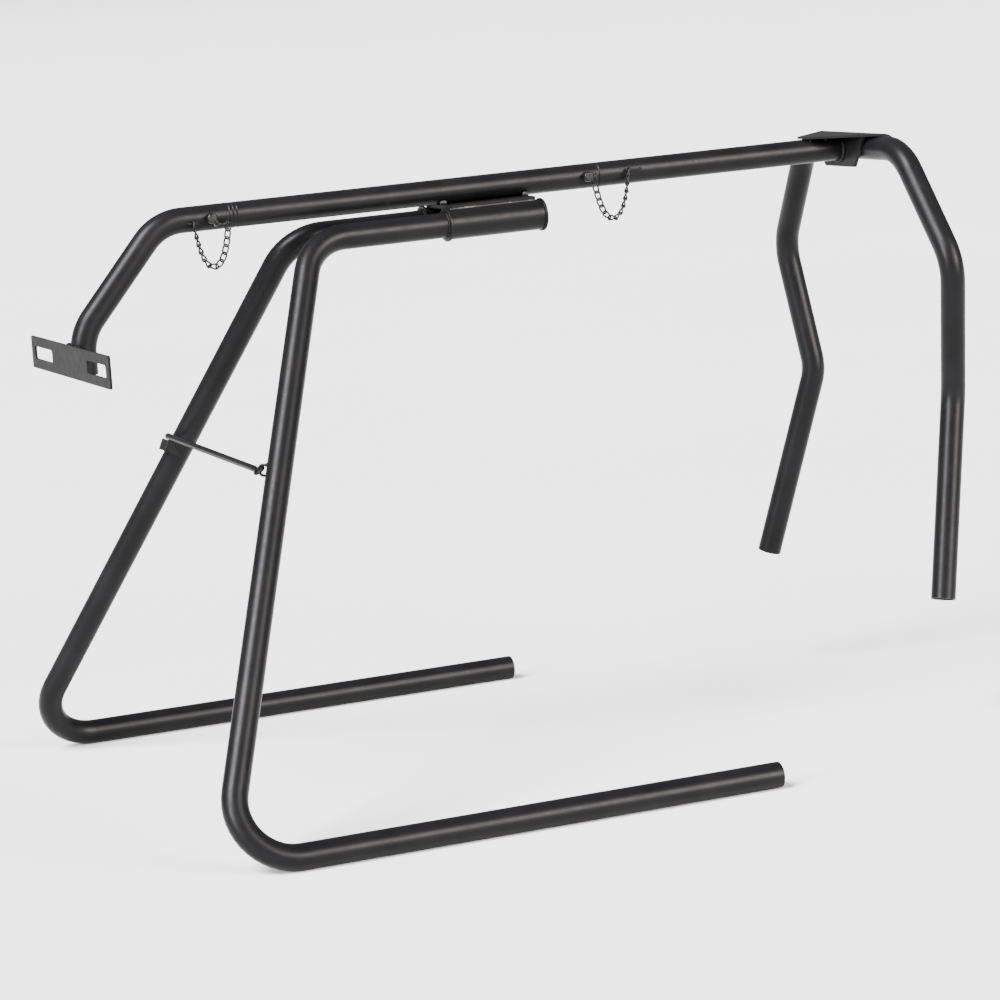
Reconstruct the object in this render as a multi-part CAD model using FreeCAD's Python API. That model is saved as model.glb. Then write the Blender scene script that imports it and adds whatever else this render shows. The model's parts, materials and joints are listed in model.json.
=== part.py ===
import FreeCAD, Part
import math
import os

# Bare frame of a collapsible roping practice dummy, in millimetres.
# +X runs from the head plate to the hind legs, +Y to the far side, +Z up, and the floor is z = 0.
# Lengths along X are first measured from the floor bend corner, then every shape is moved by
# -X_MID so that the origin sits under the middle of the frame.

V = FreeCAD.Vector
X_MID = 558.77           # middle of the overall length, from the floor bend corner

# tube stock
TUBE_R = 16.0            # main tube, 32 mm outside
WALL = 1.8
BEND_R = 65.0            # centreline radius of every bend
SLEEVE_R = 19.0          # pivot sleeve, 38 mm outside
RUN_GAP = 0.08           # running fit of a leg stub in its sleeve

# back rail: three straight sections in one line that rises gently to the rear
RAIL_Z = 725.7           # rail axis height above the floor bend corner
RAIL_RISE = 0.745        # degrees
FRONT_SEAM = 202.0
REAR_SEAM = 707.0
RAIL_END = 1067.6
SPIGOT_R = 14.1          # swaged end that plugs into the next section
SPIGOT_LEN = 50.0
SEAM_GAP = 0.4
CRIMPS = (207.5, 212.5)  # two shallow rings rolled behind the front seam

# neck
NECK_TOP_X = 114.5       # corner where the neck leaves the rail
NECK_LOW_X = 6.0         # corner above the head plate
NECK_LOW_Z = 600.3
NECK_END_Z = 551.0
PLATE_W = 325.0
PLATE_H = 40.0
PLATE_T = 3.0
PLATE_Z = 569.0
SLOT_L = 76.0
SLOT_H = 16.0
SLOT_R = 4.5
SLOT_Y = 111.0           # centre of each strap slot from the middle

# hind legs, one tube bent into an arch
ARCH = ((1088.6, 127.7, 739.6), (1100.5, 227.0, 596.3), (1115.6, 187.4, 422.0), (1056.0, 239.6, 163.4))
HOOD_T = 3.0
HOOD_FRONT_X = 1012.0
HOOD_FRONT_HALF = 10.0
HOOD_REAR_HALF = 85.0
HOOD_WRAP = 48.0         # degrees the hood follows the cross tube
END_PLATE_T = 5.0

# folding legs
LEG_TOP_X = 297.7        # corner between the leg and its stub
LEG_TOP_Y = 38.2         # half the spacing of the two sleeves
LEG_FOOT_Y = 406.7       # half the spacing of the two floor rails
FLOOR_END_X = 717.0
SADDLE_T = 4.5
SLEEVE_X0 = 482.4
SLEEVE_X1 = 608.8
COLLAR_R = 21.0
COLLAR_L = 4.0
CAP_L = 3.6
END_GAP = 0.3

# spreader bar between the legs
EYE_Z = 431.5
EYE_OFF = 26.0           # staple wire from the leg axis
EYE_R = 6.0              # ring at the bar's near end, centreline radius and wire radius
EYE_WIRE = 1.8
EYE_TILT = 34.0          # degrees the ring is turned out of level
STAPLE_HALF = 7.0
STAPLE_WIRE = 1.7
BAR_R = 4.0
BAR_REACH = 340.2        # eye centre to the middle of the bar's rounded far end
BAR_RISE = 1.19          # degrees
BAR_TOE = 0.385          # degrees the far end lies forward of the eye
PEG_R = 1.9              # peg that drops into the catch
PEG_X = 163.3
PEG_LOW_Z = 427.0

# catch on the far leg: a strap folded round three sides of the peg
CATCH_TOP = (158.7, 434.7)   # x, z of its front top edge
CATCH_Y = (171.6, 196.4)
CATCH_LEAN = 23.8        # degrees, in line with the leg
CATCH_H = 14.8
CATCH_DEPTH = 24.0
CATCH_T = 2.5

# lock pins and their chains
PIN_R = 4.0
PIN_HOLE_R = 4.1
PIN_HEAD_R = 6.5
PIN_FACE_Y = -26.2
LUG_Y = -24.8
LUG_T = 2.2
LUG_R = 3.2
PIN_X = (176.8, 688.4)
RING_R = 7.7
RING_WIRE = 0.8
LINK_WIRE = 0.9
LINK_HALF_W = 2.9
LINK_REACH = 1.12        # how far a link's end wire lies past its joint
CHAIN_LINKS = 13
CHAIN_PITCH = 9.7
CHAIN_TURN = 98.0        # degrees from one link to the next


# ---------------------------------------------------------------- geometry helpers
def unit(v):
    return v * (1.0 / v.Length)


def on_rail(s, y=0.0, w=0.0):
    # point s along the rail axis, y across it and w above it
    a = math.radians(RAIL_RISE)
    return V(s * math.cos(a) - w * math.sin(a), y, RAIL_Z + s * math.sin(a) + w * math.cos(a))


def lay_on_rail(shape):
    # a shape drawn round a level rail at z = 0 is turned and lifted onto the real one
    out = shape.copy()
    out.rotate(V(0, 0, 0), V(0, 1, 0), -RAIL_RISE)
    out.translate(V(0, 0, RAIL_Z))
    return out


def centre_line(points, radius):
    # straight runs joined by tangent arcs
    pts = [V(*p) for p in points]
    edges, start = [], pts[0]
    for i in range(1, len(pts) - 1):
        u, w = unit(pts[i - 1] - pts[i]), unit(pts[i + 1] - pts[i])
        half = u.getAngle(w) / 2.0
        back = radius / math.tan(half)
        a, b = pts[i] + u * back, pts[i] + w * back
        centre = pts[i] + unit(u + w) * (radius / math.sin(half))
        mid = centre + unit(pts[i] - centre) * radius
        edges += [Part.makeLine(start, a), Part.Arc(a, mid, b).toShape()]
        start = b
    edges.append(Part.makeLine(start, pts[-1]))
    return Part.Wire(edges)


def sweep(points, bend, radius):
    # round bar along the centre line
    wire = centre_line(points, bend)
    first = wire.Edges[0]
    ring = Part.Wire(Part.makeCircle(radius, first.valueAt(first.FirstParameter),
                                     first.tangentAt(first.FirstParameter)))
    return wire.makePipeShell([ring], True, False)


def bent_tube(points):
    # solid bar for cutting and touching tests, and the tube itself
    outer = sweep(points, BEND_R, TUBE_R)
    return outer, outer.cut(sweep(points, BEND_R, TUBE_R - WALL))


def turned(profile):
    # (s, r) profile spun about the X axis
    pts = [V(s, 0, r) for s, r in profile]
    return Part.Face(Part.makePolygon(pts + pts[:1])).revolve(V(0, 0, 0), V(1, 0, 0), 360)


def cyl(p, q, r):
    return Part.makeCylinder(r, (q - p).Length, p, q - p)


def box(x0, x1, y0, y1, z0, z1):
    return Part.makeBox(x1 - x0, y1 - y0, z1 - z0, V(x0, y0, z0))


def slab(points, thickness_vector):
    return Part.Face(Part.makePolygon(list(points) + [points[0]])).extrude(thickness_vector)


def round_edges(shape, radius, direction):
    # round the edges that run along one direction
    picked = []
    for e in shape.Edges:
        if len(e.Vertexes) == 2 and e.Curve.TypeId == "Part::GeomLine":
            d = unit(e.Vertexes[1].Point - e.Vertexes[0].Point)
            if abs(abs(d.dot(direction)) - 1.0) < 1e-3:
                picked.append(e)
    return shape.makeFillet(radius, picked)


def mirror(shape):
    return shape.mirror(V(0, 0, 0), V(0, 1, 0))


# ---------------------------------------------------------------- back rail and neck
def pin_bore(s):
    return cyl(on_rail(s, -40), on_rail(s, 40), PIN_HOLE_R)


def crimped_outline(s0, s1):
    out = []
    for c in CRIMPS:
        if s0 < c < s1:
            out += [(c - 1.2, TUBE_R), (c, TUBE_R - 0.6), (c + 1.2, TUBE_R)]
    return out


def rail_section(seam, end, bore_at):
    # plain tube with a swaged spigot reaching forward of the seam
    tip = seam - SPIGOT_LEN
    outline = [(tip, SPIGOT_R - 0.9), (tip + 1.2, SPIGOT_R), (seam + SEAM_GAP - 0.3, SPIGOT_R),
               (seam + SEAM_GAP, SPIGOT_R + 1.2), (seam + SEAM_GAP + 1.0, TUBE_R)]
    outline += crimped_outline(seam, end)
    outline += [(end, TUBE_R), (end, TUBE_R - WALL), (seam + 10.0, TUBE_R - WALL),
                (seam - 2.0, SPIGOT_R - WALL), (tip, SPIGOT_R - WALL)]
    return lay_on_rail(turned(outline)).cut(pin_bore(bore_at))


def staple(s, height, length):
    # round wire staple standing on the near side of the rail
    surface = -math.sqrt(TUBE_R ** 2 - height ** 2)
    out_y = surface - 5.0
    pts = [(s - length / 2, surface + 2, height), (s - length / 2, out_y, height),
           (s + length / 2, out_y, height), (s + length / 2, surface + 2, height)]
    wire = sweep(pts, 2.0, 1.2)
    return lay_on_rail(wire.cut(cyl(V(s - 40, 0, 0), V(s + 40, 0, 0), TUBE_R)))


neck_points = [on_rail(FRONT_SEAM), on_rail(NECK_TOP_X), (NECK_LOW_X, 0, NECK_LOW_Z),
               (NECK_LOW_X, 0, NECK_END_Z)]
neck_tube = bent_tube(neck_points)[1].cut(pin_bore(PIN_X[0]))

centre_rail = rail_section(FRONT_SEAM, REAR_SEAM, PIN_X[0]).cut(pin_bore(PIN_X[1]))
rear_rail = rail_section(REAR_SEAM, RAIL_END + 2.0, PIN_X[1]).cut(
    box(RAIL_END, RAIL_END + 20, -40, 40, 650, 850))

plate_x = NECK_LOW_X - TUBE_R
head_plate = round_edges(box(plate_x - PLATE_T, plate_x, -PLATE_W / 2, PLATE_W / 2,
                             PLATE_Z - PLATE_H / 2, PLATE_Z + PLATE_H / 2), 2.5, V(1, 0, 0))
for side in (-1, 1):
    window = box(plate_x - PLATE_T - 1, plate_x + 1, side * SLOT_Y - SLOT_L / 2, side * SLOT_Y + SLOT_L / 2,
                 PLATE_Z - SLOT_H / 2, PLATE_Z + SLOT_H / 2)
    head_plate = head_plate.cut(round_edges(window, SLOT_R, V(1, 0, 0)))

# ---------------------------------------------------------------- hind arch and its bracket
half_arch = [V(*p) for p in ARCH]
arch_points = [V(p.x, -p.y, p.z) for p in reversed(half_arch)] + half_arch
arch_outer, hind_leg_tube = bent_tube(arch_points)

cross_x, cross_z = ARCH[0][0], ARCH[0][2]
deck_z = cross_z + TUBE_R
deck = slab([V(HOOD_FRONT_X, -HOOD_FRONT_HALF, deck_z), V(cross_x, -HOOD_REAR_HALF, deck_z),
             V(cross_x, HOOD_REAR_HALF, deck_z), V(HOOD_FRONT_X, HOOD_FRONT_HALF, deck_z)], V(0, 0, HOOD_T))
wrap_face = Part.Face(Part.makePolygon([V(cross_x, -HOOD_REAR_HALF, deck_z),
                                        V(cross_x, HOOD_REAR_HALF, deck_z),
                                        V(cross_x, HOOD_REAR_HALF, deck_z + HOOD_T),
                                        V(cross_x, -HOOD_REAR_HALF, deck_z + HOOD_T),
                                        V(cross_x, -HOOD_REAR_HALF, deck_z)]))
wrap = wrap_face.revolve(V(cross_x, 0, cross_z), V(0, 1, 0), HOOD_WRAP)
rail_core = cyl(on_rail(900), on_rail(RAIL_END), TUBE_R)
hood = deck.fuse(wrap).removeSplitter().cut(arch_outer).cut(rail_core)

end_plate = slab([V(RAIL_END, -66, deck_z), V(RAIL_END, -38, 715), V(RAIL_END, 38, 715),
                  V(RAIL_END, 66, deck_z)], V(END_PLATE_T, 0, 0))
end_plate = end_plate.cut(arch_outer)

# ---------------------------------------------------------------- sleeves under the rail
stub_drop = -(TUBE_R + SADDLE_T + SLEEVE_R)
stub_end = SLEEVE_X1 + END_GAP


def sleeve(side):
    y = side * LEG_TOP_Y
    outside = cyl(V(SLEEVE_X0, y, stub_drop), V(SLEEVE_X1, y, stub_drop), SLEEVE_R)
    bore = cyl(V(SLEEVE_X0 - 1, y, stub_drop), V(SLEEVE_X1 + 1, y, stub_drop), TUBE_R + RUN_GAP)
    return lay_on_rail(outside.cut(bore))


near_sleeve, far_sleeve = sleeve(-1), sleeve(1)
saddle = box(484, 607, -LEG_TOP_Y, LEG_TOP_Y, -TUBE_R - SADDLE_T, -TUBE_R)
saddle = lay_on_rail(round_edges(saddle, 6.0, V(0, 0, 1)))

# ---------------------------------------------------------------- folding legs
def leg_points(side):
    top = on_rail(LEG_TOP_X, side * LEG_TOP_Y, stub_drop)
    return [on_rail(stub_end, side * LEG_TOP_Y, stub_drop), top,
            V(0, side * LEG_FOOT_Y, TUBE_R), V(FLOOR_END_X, side * LEG_FOOT_Y, TUBE_R)]


near_outer, near_leg_tube = bent_tube(leg_points(-1))
far_leg_tube = mirror(near_leg_tube)
far_outer = mirror(near_outer)


def stop_collar(side):
    y = side * LEG_TOP_Y
    x1 = SLEEVE_X0 - END_GAP
    ring = cyl(V(x1 - COLLAR_L, y, stub_drop), V(x1, y, stub_drop), COLLAR_R)
    ring = ring.makeFillet(0.8, [e for e in ring.Edges if e.Curve.TypeId == "Part::GeomCircle"])
    return lay_on_rail(ring.cut(cyl(V(x1 - 9, y, stub_drop), V(x1 + 9, y, stub_drop), TUBE_R)))


def end_cap(side):
    y = side * LEG_TOP_Y
    disc = cyl(V(stub_end, y, stub_drop), V(stub_end + CAP_L, y, stub_drop), COLLAR_R)
    disc = disc.makeFillet(1.0, [e for e in disc.Edges if e.Curve.TypeId == "Part::GeomCircle"])
    return lay_on_rail(disc)


# spreader eye on the near leg: its wire stands off the leg towards the middle and the front
near_top, near_foot = leg_points(-1)[1], leg_points(-1)[2]
axis_at_eye = near_foot + (near_top - near_foot) * ((EYE_Z - near_foot.z) / (near_top.z - near_foot.z))
leg_dir = unit(near_top - near_foot)
out_dir = V(-leg_dir.y, leg_dir.x, 0)
out_dir = unit(V(-abs(out_dir.x), abs(out_dir.y), 0))
eye_centre = axis_at_eye + out_dir * EYE_OFF
wire_dir = V(0, -0.30, 0.954)
wire_dir = unit(wire_dir - out_dir * wire_dir.dot(out_dir))
half_up = wire_dir * STAPLE_HALF
eye_points = [axis_at_eye + half_up + out_dir * 6, eye_centre + half_up,
              eye_centre - half_up, axis_at_eye - half_up + out_dir * 6]
near_leg_eye = sweep(eye_points, STAPLE_HALF - 1.0, STAPLE_WIRE).cut(near_outer)

# spreader: ring, round bar with a rounded end, and the peg under that end
ring = Part.makeTorus(EYE_R, EYE_WIRE, V(0, 0, 0), V(0, 0, 1))
ring.rotate(V(0, 0, 0), V(0, 1, 0), -EYE_TILT)
bar_start = EYE_R + 0.6
cone = Part.makeCone(2.6, BAR_R, 10, V(0, bar_start, 0), V(0, 1, 0))
bar = Part.makeCylinder(BAR_R, BAR_REACH - bar_start - 10, V(0, bar_start + 10, 0), V(0, 1, 0))
end_ball = Part.makeSphere(BAR_R, V(0, BAR_REACH, 0))
spreader_bar = ring.fuse([cone, bar, end_ball]).removeSplitter()
spreader_bar.rotate(V(0, 0, 0), V(1, 0, 0), BAR_RISE)
spreader_bar.rotate(V(0, 0, 0), V(0, 0, 1), BAR_TOE)
spreader_bar.translate(eye_centre)
rise, toe = math.radians(BAR_RISE), math.radians(BAR_TOE)
bar_end = eye_centre + V(-math.sin(toe) * math.cos(rise), math.cos(toe) * math.cos(rise),
                         math.sin(rise)) * BAR_REACH
peg = cyl(V(PEG_X, bar_end.y, PEG_LOW_Z), V(PEG_X, bar_end.y, bar_end.z), PEG_R)
peg = peg.makeChamfer(0.6, [e for e in peg.Edges if abs(e.CenterOfMass.z - PEG_LOW_Z) < 0.1])
spreader_bar = spreader_bar.fuse(peg).removeSplitter()

# catch, drawn square and then leaned over with the leg
y0, y1 = CATCH_Y
catch = round_edges(box(0, CATCH_DEPTH, y0, y1, -CATCH_H, 0), 3.5, V(0, 0, 1))
catch = catch.cut(box(CATCH_T, CATCH_DEPTH + 1, y0 + CATCH_T, y1 - CATCH_T, -CATCH_H - 1, 1))
catch.rotate(V(0, 0, 0), V(0, 1, 0), CATCH_LEAN)
catch.translate(V(CATCH_TOP[0], 0, CATCH_TOP[1]))
far_leg_catch = catch.cut(far_outer)


# ---------------------------------------------------------------- lock pins, rings and chains
def lock_pin(s, lug_deg):
    # straight pin with a button head and a small flat lug for its ring
    c = on_rail(s)
    shank = cyl(c + V(0, -17.5, 0), c + V(0, 21.0, 0), PIN_R)
    shank = shank.makeChamfer(1.0, [e for e in shank.Edges if abs(e.CenterOfMass.y - 21.0) < 0.1])
    head = cyl(c + V(0, PIN_FACE_Y, 0), c + V(0, -16.4, 0), PIN_HEAD_R)
    head = head.makeFillet(2.4, [e for e in head.Edges if abs(e.CenterOfMass.y - PIN_FACE_Y) < 0.1])
    a = math.radians(lug_deg)
    hole = c + V(8.5 * math.cos(a), 0, 8.5 * math.sin(a))
    low, top = V(0, LUG_Y - LUG_T / 2, 0), V(0, LUG_Y + LUG_T / 2, 0)
    side = V(-math.sin(a), 0, math.cos(a)) * LUG_R
    web = slab([c + side + low, hole + side + low, hole - side + low, c - side + low], top - low)
    body = shank.fuse([head, cyl(hole + low, hole + top, LUG_R), web]).removeSplitter()
    return body.cut(cyl(hole + V(0, -30, 0), hole + V(0, -10, 0), 1.5)), hole + V(0, LUG_Y, 0)


front_pin, front_lug = lock_pin(PIN_X[0], -58.0)
rear_pin, rear_lug = lock_pin(PIN_X[1], 24.0)
front_ring_centre = front_lug + V(RING_R, 0, 0)
rear_ring_centre = rear_lug - V(0, 0, RING_R)
front_pin_ring = Part.makeTorus(RING_R, RING_WIRE, front_ring_centre, V(0, 0, 1))
rear_pin_ring = Part.makeTorus(RING_R, RING_WIRE, rear_ring_centre, V(1, 0, 0))

FRONT_STAPLE = (153.8, -4.0, 12.0)
REAR_STAPLE = (755.0, 3.0, 22.0)


def hanging_points(p, q, n, pitch):
    # joints of a chain of n links that hangs between two points
    span = math.hypot(q.x - p.x, q.y - p.y)
    rise, length = q.z - p.z, n * pitch
    want = math.sqrt(length ** 2 - rise ** 2)
    lo, hi = 0.5, 500.0
    for _ in range(200):
        a = (lo + hi) / 2
        if span / (2 * a) > 300 or 2 * a * math.sinh(span / (2 * a)) > want:
            lo = a
        else:
            hi = a
    a = (lo + hi) / 2
    mid = span / 2 - a * math.asinh(rise / (2 * a * math.sinh(span / (2 * a))))
    low = p.z - a * math.cosh(mid / a)
    flat = V(q.x - p.x, q.y - p.y, 0) * (1 / span)

    def at(u):
        return V(p.x + flat.x * u, p.y + flat.y * u, low + a * math.cosh((u - mid) / a))

    def arc(u):
        return a * (math.sinh((u - mid) / a) + math.sinh(mid / a))

    points = [p]
    for k in range(1, n):
        u0, u1 = 0.0, span
        for _ in range(60):
            u = (u0 + u1) / 2
            if arc(u) < k * length / n:
                u0 = u
            else:
                u1 = u
        points.append(at(u))
    return points + [q]


def link_between(p, q, turn_deg):
    # stadium link hooked past both joints, turned about the line between them
    d = unit(q - p)
    side0 = unit(d.cross(V(0, 1, 0)))
    side1 = d.cross(side0)
    t = math.radians(turn_deg)
    side = side0 * math.cos(t) + side1 * math.sin(t)
    mid, half = (p + q) * 0.5, (q - p).Length / 2 + LINK_REACH
    run = half - LINK_HALF_W
    a, b = mid + d * run, mid - d * run
    edges = [Part.makeLine(b + side * LINK_HALF_W, a + side * LINK_HALF_W),
             Part.Arc(a + side * LINK_HALF_W, a + d * LINK_HALF_W, a - side * LINK_HALF_W).toShape(),
             Part.makeLine(a - side * LINK_HALF_W, b - side * LINK_HALF_W),
             Part.Arc(b - side * LINK_HALF_W, b - d * LINK_HALF_W, b + side * LINK_HALF_W).toShape()]
    ring = Part.Wire(Part.makeCircle(LINK_WIRE, b + side * LINK_HALF_W, d))
    return Part.Wire(edges).makePipeShell([ring], True, True)


def chain(p, q):
    pts = hanging_points(p, q, CHAIN_LINKS, CHAIN_PITCH)
    return Part.Compound([link_between(pts[k], pts[k + 1], k * CHAIN_TURN) for k in range(CHAIN_LINKS)])


def hook_point(s, height):
    # where the last link rides on a staple's outer wire
    return on_rail(s, -math.sqrt(TUBE_R ** 2 - height ** 2) - 5.0, height) + V(0, 0, 1.05)


front_hook = hook_point(FRONT_STAPLE[0] - 1.0, FRONT_STAPLE[1])
rear_hook = hook_point(REAR_STAPLE[0] - 8.0, REAR_STAPLE[1])
front_chain = chain(front_ring_centre + V(RING_R, 0, 1.0), front_hook)
rear_chain = chain(rear_ring_centre + V(0, 0, -RING_R + 1.0), rear_hook)

# ---------------------------------------------------------------- export
nodes = {
    "centre_rail": centre_rail,
    "neck_tube": neck_tube,
    "head_plate": head_plate,
    "rear_rail": rear_rail,
    "hind_leg_tube": hind_leg_tube,
    "hind_hood": hood,
    "hind_end_plate": end_plate,
    "saddle_plate": saddle,
    "near_sleeve": near_sleeve,
    "far_sleeve": far_sleeve,
    "near_leg_tube": near_leg_tube,
    "far_leg_tube": far_leg_tube,
    "near_stop_collar": stop_collar(-1),
    "far_stop_collar": stop_collar(1),
    "near_end_cap": end_cap(-1),
    "far_end_cap": end_cap(1),
    "near_leg_eye": near_leg_eye,
    "far_leg_catch": far_leg_catch,
    "spreader_bar": spreader_bar,
    "front_lock_pin": front_pin,
    "rear_lock_pin": rear_pin,
    "front_pin_ring": front_pin_ring,
    "rear_pin_ring": rear_pin_ring,
    "front_staple": staple(*FRONT_STAPLE),
    "rear_staple": staple(*REAR_STAPLE),
    "front_chain": front_chain,
    "rear_chain": rear_chain,
}
os.makedirs("parts", exist_ok=True)
for name, shape in nodes.items():
    shape.translate(V(-X_MID, 0, 0))
    shape.exportStep("parts/" + name + ".step")
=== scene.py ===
import json
import math
import random

import bpy
from mathutils import Matrix, Vector
from mathutils.bvhtree import BVHTree

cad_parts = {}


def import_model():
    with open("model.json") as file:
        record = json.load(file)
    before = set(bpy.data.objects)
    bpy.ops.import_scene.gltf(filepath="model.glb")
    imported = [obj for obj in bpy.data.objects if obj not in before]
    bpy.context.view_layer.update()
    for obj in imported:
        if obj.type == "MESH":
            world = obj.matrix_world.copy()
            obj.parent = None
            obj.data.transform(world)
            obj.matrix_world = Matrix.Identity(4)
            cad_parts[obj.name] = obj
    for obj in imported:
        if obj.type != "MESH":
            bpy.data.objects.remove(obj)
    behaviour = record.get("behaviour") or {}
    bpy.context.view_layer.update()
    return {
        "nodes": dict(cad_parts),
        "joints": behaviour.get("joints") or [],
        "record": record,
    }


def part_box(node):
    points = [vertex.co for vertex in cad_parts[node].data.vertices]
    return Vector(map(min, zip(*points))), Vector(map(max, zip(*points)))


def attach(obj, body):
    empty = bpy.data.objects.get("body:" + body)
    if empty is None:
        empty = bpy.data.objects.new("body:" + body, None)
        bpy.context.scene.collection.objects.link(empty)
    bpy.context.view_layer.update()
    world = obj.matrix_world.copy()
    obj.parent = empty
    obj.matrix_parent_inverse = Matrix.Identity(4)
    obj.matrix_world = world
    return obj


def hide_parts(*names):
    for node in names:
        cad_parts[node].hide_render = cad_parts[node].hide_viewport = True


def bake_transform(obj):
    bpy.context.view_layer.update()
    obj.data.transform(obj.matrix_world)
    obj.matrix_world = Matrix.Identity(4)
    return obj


# Finish, welds, chains and studio for the bare frame of a roping practice dummy.
# Metres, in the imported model's own frame: +X to the hind legs, +Y to the far side, +Z up.

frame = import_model()

JOINTS = {j["name"]: j for j in frame["joints"]}
MOUNTS = {m["name"]: m for m in frame["record"]["mounts"]}
MM = 0.001

SIDES = (("near", -1), ("far", 1))
TUBE_R = MOUNTS["near_hind_end"]["dims"]["r_mm"] * MM

# bead radii of the welds, and the spacing of their ripples
NECK_WELD_R = 4.2 * MM
SADDLE_TACK_R = 3.0 * MM
SLEEVE_WELD_R = 1.5 * MM
COLLAR_WELD_R = 1.5 * MM
RAIL_END_WELD_R = 2.4 * MM
ARCH_WELD_R = 2.6 * MM
HOOD_TACK_R = 2.2 * MM
FOOT_WELD_R = 0.9 * MM
RIPPLE = 2.2 * MM
SINK = 0.97              # share of its touching distance at which a bead sits beside the tube

# chain links: wire radius, half width, and how far a link's end wire lies past its joint
LINK_WIRE = 1.15 * MM
LINK_HALF_W = 3.15 * MM
LINK_REACH = 1.35 * MM
CHAIN_LINKS = 13
CHAIN_PITCH = 9.7 * MM
HOOK_RISE = 1.05 * MM    # height of the chain's end over the middle of the staple's wire
END_RISE = 1.0 * MM      # height of its other end over the middle of the pin ring's wire

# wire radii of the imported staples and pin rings, and of the coil that takes the ring's place
STAPLE_WIRE = 1.2 * MM
RING_WIRE = 0.8 * MM
COIL_WIRE = 0.42 * MM


# ---------------------------------------------------------------- where the rail runs
def middle(node):
    low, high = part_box(node)
    return (low + high) / 2


def extent(node):
    low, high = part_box(node)
    return high - low


PIVOT = Vector(JOINTS["near_leg_fold"]["pos_m"])
RAIL_DIR = Vector(JOINTS["near_leg_fold"]["axis"])
RAIL_UP = Vector((-RAIL_DIR.z, 0, RAIL_DIR.x))
SLEEVE_R = extent("near_sleeve").y / 2
# the saddle plate slopes with the rail, which adds to the height of its box
SADDLE_T = extent("saddle_plate").z - extent("saddle_plate").x * RAIL_DIR.z
RAIL_POINT = Vector((PIVOT.x, 0, PIVOT.z)) + RAIL_UP * (TUBE_R + SADDLE_T + SLEEVE_R)


def on_rail(x, y=0.0, up=0.0):
    # the point beside the rail's centre line: y to the far side, up square to the rail
    along = (x - RAIL_POINT.x) / RAIL_DIR.x
    return RAIL_POINT + RAIL_DIR * along + Vector((0, y, 0)) + RAIL_UP * up


# ---------------------------------------------------------------- mesh helpers
def mesh_object(name, verts, faces, material):
    mesh = bpy.data.meshes.new(name)
    mesh.from_pydata([tuple(v) for v in verts], [], faces)
    mesh.polygons.foreach_set("use_smooth", [True] * len(mesh.polygons))
    mesh.materials.append(material)
    mesh.update()
    obj = bpy.data.objects.new(name, mesh)
    bpy.context.scene.collection.objects.link(obj)
    return obj


def resample(points, step, closed):
    # evenly spaced points along a path, about a step apart
    pts = list(points) + ([points[0]] if closed else [])
    lengths = [0.0]
    for a, b in zip(pts, pts[1:]):
        lengths.append(lengths[-1] + (b - a).length)
    count = max(6, round(lengths[-1] / step))
    out, k = [], 0
    for i in range(count if closed else count + 1):
        want = lengths[-1] * i / count
        while k < len(pts) - 2 and lengths[k + 1] < want:
            k += 1
        span = max(lengths[k + 1] - lengths[k], 1e-12)
        out.append(pts[k].lerp(pts[k + 1], (want - lengths[k]) / span))
    return out


def tube_rings(points, radius_at, sides, closed):
    # rings of vertices carried along a path without twist; radius_at takes a ring's number and an angle
    n = len(points)
    verts, side = [], None
    for i, p in enumerate(points):
        ahead = points[(i + 1) % n] if closed or i < n - 1 else p
        behind = points[i - 1] if closed or i > 0 else p
        d = (ahead - behind).normalized()
        if side is None:
            side = d.orthogonal().normalized()
        side = (side - d * side.dot(d)).normalized()
        other = d.cross(side)
        for j in range(sides):
            a = 2 * math.pi * j / sides
            r = radius_at(i, a)
            verts.append(p + side * (r * math.cos(a)) + other * (r * math.sin(a)))
    return verts


def tube_faces(rings, sides, closed, start=0):
    # the skin between those rings, and a cap at each end of an open path
    faces = []
    for i in range(rings if closed else rings - 1):
        for j in range(sides):
            a, b = start + i * sides, start + ((i + 1) % rings) * sides
            faces.append((a + j, a + (j + 1) % sides, b + (j + 1) % sides, b + j))
    if not closed:
        faces.append(tuple(start + j for j in reversed(range(sides))))
        faces.append(tuple(start + (rings - 1) * sides + j for j in range(sides)))
    return faces


# ---------------------------------------------------------------- materials
def new_material(name):
    material = bpy.data.materials.new(name)
    material.use_nodes = True
    nodes, links = material.node_tree.nodes, material.node_tree.links
    shader = nodes["Principled BSDF"]
    coords = nodes.new("ShaderNodeTexCoord")
    return material, nodes, links, shader, coords.outputs["Object"]


def noise(nodes, links, coords, scale, detail, rough=0.5):
    node = nodes.new("ShaderNodeTexNoise")
    node.inputs["Scale"].default_value = scale
    node.inputs["Detail"].default_value = detail
    node.inputs["Roughness"].default_value = rough
    links.new(coords, node.inputs["Vector"])
    return node.outputs["Fac"]


def remap(nodes, links, value, low, high, to_low, to_high):
    node = nodes.new("ShaderNodeMapRange")
    numbers = {"From Min": low, "From Max": high, "To Min": to_low, "To Max": to_high}
    for socket, number in numbers.items():
        node.inputs[socket].default_value = number
    links.new(value, node.inputs["Value"])
    return node.outputs["Result"]


def mix_colour(nodes, links, factor, first, second):
    # sockets 6 and 7 are a mix node's two colours, and output 2 is the mixed one
    node = nodes.new("ShaderNodeMix")
    node.data_type = "RGBA"
    links.new(factor, node.inputs["Factor"])
    for socket, value in ((node.inputs[6], first), (node.inputs[7], second)):
        if isinstance(value, tuple):
            socket.default_value = (*value, 1.0)
        else:
            links.new(value, socket)
    return node.outputs[2]


def maths(nodes, links, operation, first, second):
    node = nodes.new("ShaderNodeMath")
    node.operation = operation
    for socket, value in zip(node.inputs, (first, second)):
        if isinstance(value, float):
            socket.default_value = value
        else:
            links.new(value, socket)
    return node.outputs[0]


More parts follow.
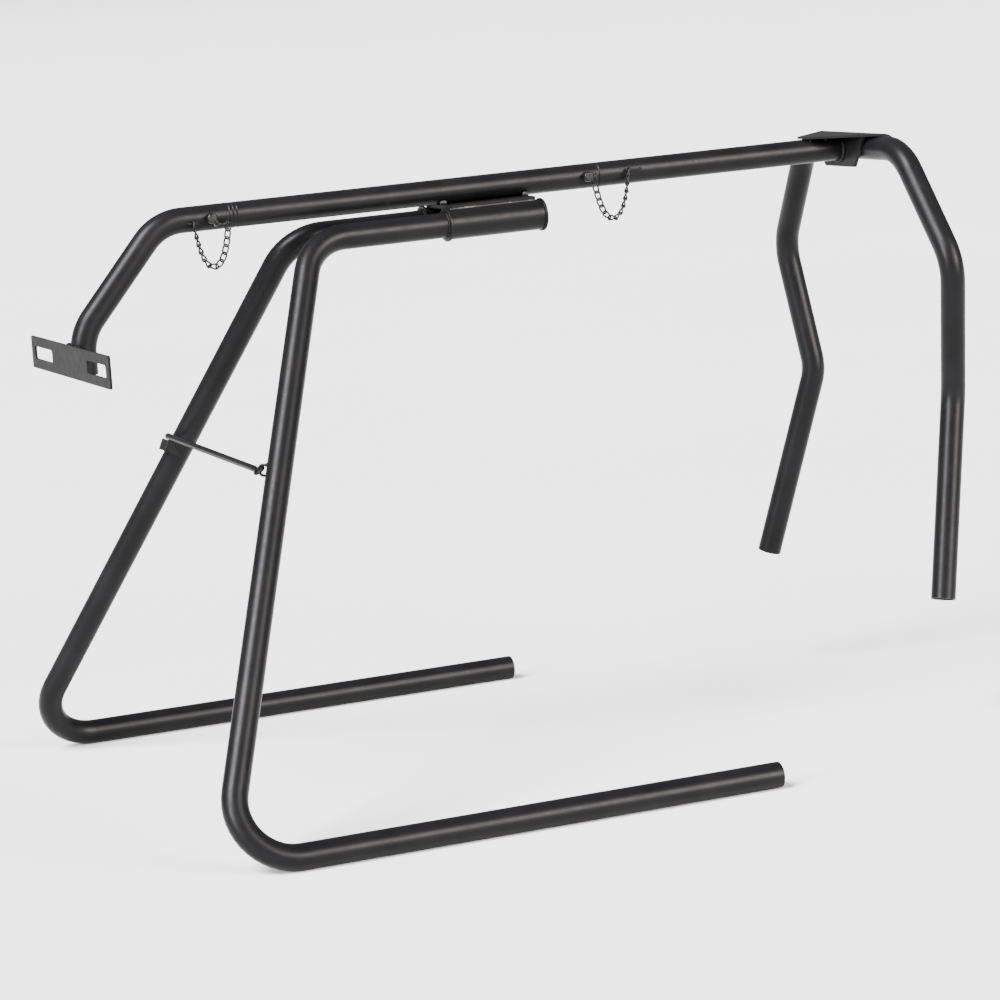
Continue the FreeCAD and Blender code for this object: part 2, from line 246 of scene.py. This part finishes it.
def edge_mask(nodes, links, width):
    # one along sharp edges, nought on flat and gently curved faces
    bevel = nodes.new("ShaderNodeBevel")
    bevel.inputs["Radius"].default_value = width
    geometry = nodes.new("ShaderNodeNewGeometry")
    dot = nodes.new("ShaderNodeVectorMath")
    dot.operation = "DOT_PRODUCT"
    links.new(bevel.outputs["Normal"], dot.inputs[0])
    links.new(geometry.outputs["Normal"], dot.inputs[1])
    return remap(nodes, links, dot.outputs["Value"], 0.99, 0.85, 0.0, 1.0)


def bump(nodes, links, heights, shader):
    # stacks (height, distance) pairs into one normal
    normal = None
    for height, distance in heights:
        node = nodes.new("ShaderNodeBump")
        node.inputs["Strength"].default_value = 1.0
        node.inputs["Distance"].default_value = distance
        links.new(height, node.inputs["Height"])
        if normal is not None:
            links.new(normal, node.inputs["Normal"])
        normal = node.outputs["Normal"]
    links.new(normal, shader.inputs["Normal"])


def coated(name, dark, light, worn, rough, peel, scuff_from, wear=0.55, specular=0.09):
    # powder coat over steel: cloudy tone, orange peel, dull scuffs, and rubbed edges
    material, nodes, links, shader, coords = new_material(name)
    cloud = noise(nodes, links, coords, 14.0, 4.0, 0.55)
    mottle = noise(nodes, links, coords, 120.0, 3.0, 0.6)
    grain = noise(nodes, links, coords, 900.0, 2.0, 0.5)
    blotch = noise(nodes, links, coords, 60.0, 9.0, 0.72)
    scuff = remap(nodes, links, blotch, scuff_from, scuff_from + 0.06, 0.0, 1.0)
    tone = remap(nodes, links, cloud, 0.32, 0.68, 0.0, 1.0)
    base = mix_colour(nodes, links, tone, dark, light)
    base = mix_colour(nodes, links, maths(nodes, links, "MULTIPLY", scuff, 0.35), base, worn)
    edge = maths(nodes, links, "MULTIPLY", edge_mask(nodes, links, 0.7 * MM), mottle)
    base = mix_colour(nodes, links, maths(nodes, links, "MULTIPLY", edge, wear), base, worn)
    links.new(base, shader.inputs["Base Color"])
    dull = maths(nodes, links, "MULTIPLY", scuff, 0.10)
    sheen = remap(nodes, links, mottle, 0.3, 0.7, rough[0], rough[1])
    links.new(maths(nodes, links, "ADD", sheen, dull), shader.inputs["Roughness"])
    shader.inputs["Specular IOR Level"].default_value = specular
    bump(nodes, links, [(grain, peel), (mottle, peel * 1.6)], shader)
    return material


def bare_steel(name, dark, light, rough, scratch):
    # dark oxide steel with brighter rubbed spots
    material, nodes, links, shader, coords = new_material(name)
    patch = noise(nodes, links, coords, 220.0, 5.0, 0.65)
    fine = noise(nodes, links, coords, 1500.0, 2.0, 0.5)
    tone = remap(nodes, links, patch, 0.38, 0.66, 0.0, 1.0)
    edge = edge_mask(nodes, links, 0.4 * MM)
    base = mix_colour(nodes, links, tone, dark, light)
    base = mix_colour(nodes, links, maths(nodes, links, "MULTIPLY", edge, 0.5), base, light)
    links.new(base, shader.inputs["Base Color"])
    sheen = remap(nodes, links, patch, 0.3, 0.7, rough[1], rough[0])
    links.new(sheen, shader.inputs["Roughness"])
    shader.inputs["Metallic"].default_value = 0.85
    bump(nodes, links, [(fine, scratch), (patch, scratch * 2)], shader)
    return material


tube_coat = coated("tube_powder_coat", (0.0022, 0.0021, 0.0024), (0.0042, 0.0039, 0.0044),
                   (0.018, 0.017, 0.017), (0.34, 0.42), 0.03 * MM, 0.66)
sleeve_coat = coated("sleeve_powder_coat", (0.0022, 0.0021, 0.0022), (0.0042, 0.0040, 0.0042),
                     (0.022, 0.021, 0.020), (0.34, 0.44), 0.03 * MM, 0.64, wear=0.7)
plate_coat = coated("plate_powder_coat", (0.0042, 0.0041, 0.0043), (0.0056, 0.0055, 0.0057),
                    (0.016, 0.016, 0.016), (0.5, 0.58), 0.03 * MM, 0.66, specular=0.05)
bracket_coat = coated("bracket_powder_coat", (0.0024, 0.0023, 0.0023), (0.0048, 0.0046, 0.0046),
                      (0.022, 0.021, 0.02), (0.42, 0.5), 0.04 * MM, 0.64, specular=0.08)
weld_coat = coated("weld_powder_coat", (0.0022, 0.0021, 0.0023), (0.005, 0.0048, 0.005),
                   (0.03, 0.029, 0.028), (0.3, 0.4), 0.05 * MM, 0.6, specular=0.1)
# weld tacks: a lighter base with heavily rubbed light flecks, a painted highlight for the glints on
# these beads
tack_highlight_coat = coated("tack_bare_flecks", (0.006, 0.0057, 0.006), (0.014, 0.013, 0.014),
                   (0.16, 0.157, 0.155), (0.3, 0.42), 0.05 * MM, 0.5, wear=0.8, specular=0.25)
wire_coat = coated("wire_powder_coat", (0.0022, 0.0022, 0.0024), (0.0045, 0.0043, 0.0045),
                   (0.02, 0.019, 0.018), (0.34, 0.44), 0.02 * MM, 0.62, wear=0.6)
pin_steel = bare_steel("pin_black_steel", (0.005, 0.005, 0.0052), (0.024, 0.0235, 0.023),
                       (0.28, 0.45), 0.01 * MM)
chain_steel = bare_steel("chain_dark_steel", (0.004, 0.0038, 0.0038), (0.02, 0.0195, 0.019),
                         (0.3, 0.5), 0.01 * MM)

FINISH = {
    "head_plate": plate_coat,
    "hind_hood": bracket_coat, "hind_end_plate": bracket_coat, "saddle_plate": bracket_coat,
    "near_sleeve": sleeve_coat, "far_sleeve": sleeve_coat,
    "near_stop_collar": sleeve_coat, "far_stop_collar": sleeve_coat,
    "near_end_cap": sleeve_coat, "far_end_cap": sleeve_coat,
    "near_leg_eye": wire_coat, "spreader_bar": wire_coat, "far_leg_catch": bracket_coat,
    "front_staple": wire_coat, "rear_staple": wire_coat,
    "front_lock_pin": pin_steel, "rear_lock_pin": pin_steel,
    "front_pin_ring": chain_steel, "rear_pin_ring": chain_steel,
    "front_chain": chain_steel, "rear_chain": chain_steel,
}
for node_name, node_object in frame["nodes"].items():
    node_object.data.materials.clear()
    node_object.data.materials.append(FINISH.get(node_name, tube_coat))


# ---------------------------------------------------------------- welds
def weld(name, body, points, radius, closed=False, finish=weld_coat):
    # rippled bead along a path, with rounded ends where it is open
    rng = random.Random(name)
    sides, per_ripple = 14, 4
    step = RIPPLE / per_ripple
    path = resample(points, step, closed)
    n = len(path)
    lumps = [rng.uniform(0.9, 1.1) for _ in range(n // per_ripple + 2)]

    def radius_at(i, angle):
        ripple = 1 + 0.09 * math.sin(2 * math.pi * i / per_ripple + 0.8 * math.cos(angle))
        k, share = i // per_ripple, i % per_ripple / per_ripple
        swell = lumps[k] * (1 - share) + lumps[(k + 1) % len(lumps)] * share
        taper = 1.0
        if not closed:
            from_end = min(i, n - 1 - i) * step / radius
            taper = math.sqrt(max(0.02, 1 - max(0.0, 1 - from_end) ** 2))
        return radius * ripple * swell * taper

    verts, faces = tube_rings(path, radius_at, sides, closed), tube_faces(n, sides, closed)
    obj = mesh_object(name, verts, faces, finish)
    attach(obj, body)


def wedge(radius):
    # how far a bead that touches a flat face and the tube lies from their line of contact
    return 2 * math.sqrt(TUBE_R * radius)


def neck_welds():
    # an upright bead on each side, where the neck's end stands against the head plate
    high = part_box("head_plate")[1]
    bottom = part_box("neck_tube")[0].z
    for side, sign in SIDES:
        x, y = high.x + NECK_WELD_R * 0.8, sign * wedge(NECK_WELD_R) * SINK
        ends = [Vector((x, y, bottom + NECK_WELD_R)), Vector((x, y, high.z + NECK_WELD_R * 0.4))]
        weld("neck_weld_" + side, "frame", ends, NECK_WELD_R)


def saddle_welds():
    # a tack at each corner between the rail and the saddle plate, and a weld along each sleeve's top
    low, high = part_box("saddle_plate")
    tack, past, inset, outside = 9 * MM, 0.5 * MM, 2 * MM, 0.6 * MM
    spans = (("front", low.x - past, low.x + tack), ("rear", high.x - tack, high.x + past))
    for side, sign in SIDES:
        y, up = sign * wedge(SADDLE_TACK_R) * SINK, SADDLE_TACK_R * 0.9 - TUBE_R
        for end, x0, x1 in spans:
            # the saddle tacks take the lighter tack coat, a painted highlight
            weld(f"saddle_tack_{side}_{end}", "frame", [on_rail(x0, y, up), on_rail(x1, y, up)],
                 SADDLE_TACK_R, finish=tack_highlight_coat)
        y, up = sign * (abs(PIVOT.y) + outside), -TUBE_R - SADDLE_T
        ends = [on_rail(low.x + inset, y, up), on_rail(high.x - inset, y, up)]
        # the sleeve welds take the lighter tack coat too, a painted highlight along the saddle plate's
        # edge
        weld("sleeve_weld_" + side, "frame", ends, SLEEVE_WELD_R, finish=tack_highlight_coat)


def ring_points(centre, axis, radius, start=0.0, turn=360.0):
    # points on a circle round the axis, or on the part of one that turns that many degrees
    count = 72
    side = Vector((0, 1, 0))
    other = axis.cross(side).normalized()
    out = []
    for k in range(count if turn == 360.0 else count + 1):
        a = math.radians(start + turn * k / count)
        out.append(centre + (side * math.cos(a) + other * math.sin(a)) * radius)
    return out


def rail_end_weld():
    # round the rail just ahead of the end plate, open at the top under the hood
    centre = on_rail(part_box("hind_end_plate")[0].x) - RAIL_DIR * 1.2 * MM
    arc = ring_points(centre, RAIL_DIR, TUBE_R + 0.9 * MM, start=-215, turn=250)
    weld("end_plate_ring_weld", "frame", arc, RAIL_END_WELD_R)


def arch_weld():
    # in the corner between the end plate's rear face and the underside of the cross tube
    plate_low, plate_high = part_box("hind_end_plate")
    half, behind = 40 * MM, 2.4 * MM
    x, z = plate_high.x + behind, on_rail(plate_low.x).z - wedge(ARCH_WELD_R)
    weld("arch_weld", "frame", [Vector((x, -half, z)), Vector((x, half, z))], ARCH_WELD_R)


def hood_tacks():
    # two short tacks on each side between the rail's top and the hood
    hood_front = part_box("hind_hood")[0].x
    half, aside, up = 2.5 * MM, 9.2 * MM, TUBE_R * 0.84
    for side, sign in SIDES:
        for k, x in enumerate((hood_front + 9 * MM, hood_front + 32 * MM)):
            ends = [on_rail(end, sign * aside, up) for end in (x - half, x + half)]
            weld(f"hood_tack_{side}_{k}", "frame", ends, HOOD_TACK_R)


def collar_welds():
    # round each leg's stub, against the front of its stop collar
    for side, _ in SIDES:
        pivot = Vector(JOINTS[side + "_leg_fold"]["pos_m"])
        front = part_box(side + "_stop_collar")[0].x
        centre = pivot + RAIL_DIR * ((front - pivot.x) / RAIL_DIR.x)
        circle = ring_points(centre, RAIL_DIR, TUBE_R + 0.5 * MM)
        weld(side + "_collar_weld", side + "_leg", circle, COLLAR_WELD_R, closed=True)


def contact_groups(node, onto):
    # groups of (place, normal) where the node's vertices lie on the surface of the other node
    reach, gap, same = 0.25 * MM, 7 * MM, 1e-5
    other = frame["nodes"][onto].data
    tree = BVHTree.FromPolygons([v.co for v in other.vertices], [p.vertices[:] for p in other.polygons])
    touching = []
    for v in frame["nodes"][node].data.vertices:
        place, normal, _, _ = tree.find_nearest(v.co, reach)
        if place is not None and all((v.co - p).length > same for p, _ in touching):
            touching.append((v.co.copy(), normal.copy()))
    groups = []
    for item in touching:
        near = [g for g in groups if any((item[0] - p).length < gap for p, _ in g)]
        merged = [item] + [q for g in near for q in g]
        groups = [g for g in groups if g not in near] + [merged]
    return groups


def sorted_round(points, centre, normal):
    # the points in order of their angle round the normal
    side = normal.orthogonal().normalized()
    other = normal.cross(side)
    return sorted(points, key=lambda p: math.atan2((p - centre).dot(other), (p - centre).dot(side)))


def foot_welds(node, onto, body, radius):
    # a closed bead round each place where the node stands on the other one
    for k, group in enumerate(contact_groups(node, onto)):
        centre = sum((p for p, _ in group), Vector()) / len(group)
        normal = sum((n for _, n in group), Vector()).normalized()
        loop = sorted_round([p for p, _ in group], centre, normal)
        weld(f"{node}_weld_{k}", body, loop, radius, closed=True)


neck_welds()
saddle_welds()
rail_end_weld()
arch_weld()
hood_tacks()
collar_welds()
foot_welds("front_staple", "neck_tube", "frame", FOOT_WELD_R)
foot_welds("rear_staple", "rear_rail", "frame", FOOT_WELD_R)
foot_welds("near_leg_eye", "near_leg_tube", "near_leg", FOOT_WELD_R * 1.3)
foot_welds("far_leg_catch", "far_leg_tube", "far_leg", FOOT_WELD_R * 1.2)


# ---------------------------------------------------------------- chains
def hanging_points(p, q, count, pitch):
    # joints of a chain of that many links hanging between two points, on a catenary of its length
    flat = Vector((q.x - p.x, q.y - p.y, 0))
    span, rise, length = flat.length, q.z - p.z, count * pitch
    want = math.sqrt(length ** 2 - rise ** 2)
    low, high = span / 600, 1.0
    for _ in range(80):      # halves the range of the catenary's scale
        a = (low + high) / 2
        low, high = (a, high) if 2 * a * math.sinh(span / (2 * a)) > want else (low, a)
    mid = span / 2 - a * math.asinh(rise / (2 * a * math.sinh(span / (2 * a))))
    lowest = p.z - a * math.cosh(mid / a)
    points = []
    for k in range(count + 1):
        u = mid + a * math.asinh(k * pitch / a - math.sinh(mid / a))
        point = p + flat * (u / span)
        points.append(Vector((point.x, point.y, lowest + a * math.cosh((u - mid) / a))))
    return points


def twisted_link(p, q, turn):
    # centre line of an oval link whose two ends stand a quarter turn apart, and how far each point
    # lies from the link's middle, as a share of its pitch
    straight_steps, bend_steps = 10, 14
    d = (q - p).normalized()
    side0 = d.cross(Vector((0, 1, 0))).normalized()
    side1 = d.cross(side0)
    half = (q - p).length / 2 + LINK_REACH
    run = half - LINK_HALF_W
    outline = []
    for k in range(straight_steps):
        outline.append((-run + 2 * run * k / straight_steps, LINK_HALF_W))
    for k in range(bend_steps):
        a = math.pi / 2 - math.pi * k / bend_steps
        outline.append((run + LINK_HALF_W * math.cos(a), LINK_HALF_W * math.sin(a)))
    outline += [(-s, -w) for s, w in outline]
    centre, points = (p + q) / 2, []
    for s, w in outline:
        a = math.radians(turn + 45 * s / half)
        points.append(centre + d * s + (side0 * math.cos(a) + side1 * math.sin(a)) * w)
    return points, [s / (q - p).length for s, _ in outline]


def chain(name, p, q, turn_first, turn_last):
    # from the pin's ring at p to the staple at q, each link turned a little more than the one before
    joints = hanging_points(p, q, CHAIN_LINKS, CHAIN_PITCH)
    verts, faces, weights = [], [], []
    sides = 10
    for k in range(CHAIN_LINKS):
        turn = turn_first + (turn_last - turn_first) * k / (CHAIN_LINKS - 1)
        points, along = twisted_link(joints[k], joints[k + 1], turn)
        start = len(verts)
        verts += tube_rings(points, lambda i, a: LINK_WIRE, sides, True)
        faces += tube_faces(len(points), sides, True, start)
        for s in along:
            weights += [min(1.0, max(0.0, 1 - (k + 0.5 + s) / CHAIN_LINKS))] * sides
    obj = mesh_object(name + "_links", verts, faces, chain_steel)
    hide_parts(name)
    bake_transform(obj)


def split_ring(name, body, node, normal):
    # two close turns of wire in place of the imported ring
    turns, steps, sides = 2, 64, 10
    centre = middle(node)
    radius = max(extent(node)) / 2 - RING_WIRE
    side = normal.orthogonal().normalized()
    other = normal.cross(side)
    points = []
    for k in range(turns * steps + 1):
        a = 2 * math.pi * k / steps
        lift = (k / (turns * steps) - 0.5) * 2 * COIL_WIRE * 1.1
        points.append(centre + (side * math.cos(a) + other * math.sin(a)) * radius + normal * lift)
    verts = tube_rings(points, lambda i, a: COIL_WIRE, sides, False)
    obj = mesh_object(name, verts, tube_faces(len(points), sides, False), chain_steel)
    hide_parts(node)
    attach(obj, body)


def staple_hook(node, along):
    # where the last link rides on the staple's outer wire
    mid = middle(node)
    wire_z = mid.z + along * RAIL_DIR.z
    return Vector((mid.x + along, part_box(node)[0].y + STAPLE_WIRE, wire_z + HOOK_RISE))


# the front ring lies flat and its chain starts at its rear; the rear ring stands, with its chain below
front_ring_reach = extent("front_pin_ring").x / 2 - RING_WIRE
rear_ring_reach = extent("rear_pin_ring").z / 2 - RING_WIRE
front_start = middle("front_pin_ring") + Vector((front_ring_reach, 0, END_RISE))
rear_start = middle("rear_pin_ring") + Vector((0, 0, END_RISE - rear_ring_reach))
chain("front_chain", front_start, staple_hook("front_staple", -1 * MM), 8, 62)
chain("rear_chain", rear_start, staple_hook("rear_staple", -8 * MM), 30, 58)
split_ring("front_split_ring", "front_pin", "front_pin_ring", Vector((0, 0, 1)))
split_ring("rear_split_ring", "rear_pin", "rear_pin_ring", Vector((1, 0, 0)))


# ---------------------------------------------------------------- studio
def floor():
    # wide enough that the camera sees no end of it
    size, thick = 400.0, 0.02
    square = ((-size, -size), (size, -size), (size, size), (-size, size))
    corners = [(x, y, z) for z in (-thick, 0.0) for x, y in square]
    faces = [(3, 2, 1, 0), (4, 5, 6, 7), (0, 1, 5, 4), (1, 2, 6, 5), (2, 3, 7, 6), (3, 0, 4, 7)]
    material, nodes, links, shader, coords = new_material("studio_floor")
    tone = remap(nodes, links, noise(nodes, links, coords, 0.8, 2.0), 0.3, 0.7, 0.0, 1.0)
    colour = mix_colour(nodes, links, tone, (0.63, 0.63, 0.63), (0.65, 0.65, 0.65))
    links.new(colour, shader.inputs["Base Color"])
    shader.inputs["Roughness"].default_value = 0.9
    shader.inputs["Specular IOR Level"].default_value = 0.1
    mesh_object("studio_floor", corners, faces, material)


def soft_light(name, azimuth, elevation, spread, strength, colour):
    # distant round softbox: azimuth is measured from the near side, spread is its width in degrees
    data = bpy.data.lights.new(name, "SUN")
    data.angle = math.radians(spread)
    data.energy, data.color = strength, colour
    light = bpy.data.objects.new(name, data)
    a, e = math.radians(azimuth), math.radians(elevation)
    towards = Vector((math.sin(a) * math.cos(e), -math.cos(a) * math.cos(e), math.sin(e)))
    light.location = towards * 5
    light.rotation_mode = "QUATERNION"
    light.rotation_quaternion = (-towards).to_track_quat("-Z", "Y")
    bpy.context.scene.collection.objects.link(light)


def world(strength):
    # even white surroundings
    scene_world = bpy.data.worlds.new("studio")
    scene_world.use_nodes = True
    sky = scene_world.node_tree.nodes["Background"]
    sky.inputs["Color"].default_value = (1.0, 1.0, 1.0, 1.0)
    sky.inputs["Strength"].default_value = strength
    bpy.context.scene.world = scene_world


def camera(place, azimuth, elevation, roll, lens):
    # angles in degrees, measured as for the lights; lens in millimetres
    a, e, r = (math.radians(x) for x in (azimuth, elevation, roll))
    back = Vector((math.sin(a) * math.cos(e), -math.cos(a) * math.cos(e), math.sin(e)))
    right = Vector((math.cos(a), math.sin(a), 0))
    up = back.cross(right)
    x_axis = right * math.cos(r) - up * math.sin(r)
    y_axis = right * math.sin(r) + up * math.cos(r)
    data = bpy.data.cameras.new("camera")
    data.lens, data.sensor_width = lens, 36.0
    data.clip_start, data.clip_end = 0.1, 1000.0
    obj = bpy.data.objects.new("camera", data)
    obj.matrix_world = Matrix.Translation(place) @ Matrix((x_axis, y_axis, back)).transposed().to_4x4()
    bpy.context.scene.collection.objects.link(obj)
    bpy.context.scene.camera = obj


floor()
world(0.5)
soft_light("key_light", -72, 50, 27, 15.0, (0.97, 0.97, 1.0))
soft_light("side_light", -70, 20, 18, 6.5, (0.98, 0.98, 1.0))
soft_light("fill_light", 29, 21, 30, 9.5, (1.0, 0.95, 0.89))
camera(Vector((-1.7724, -4.1321, 1.0423)), azimuth=-23.054, elevation=9.032, roll=3.809, lens=126.63)

bpy.context.view_layer.update()
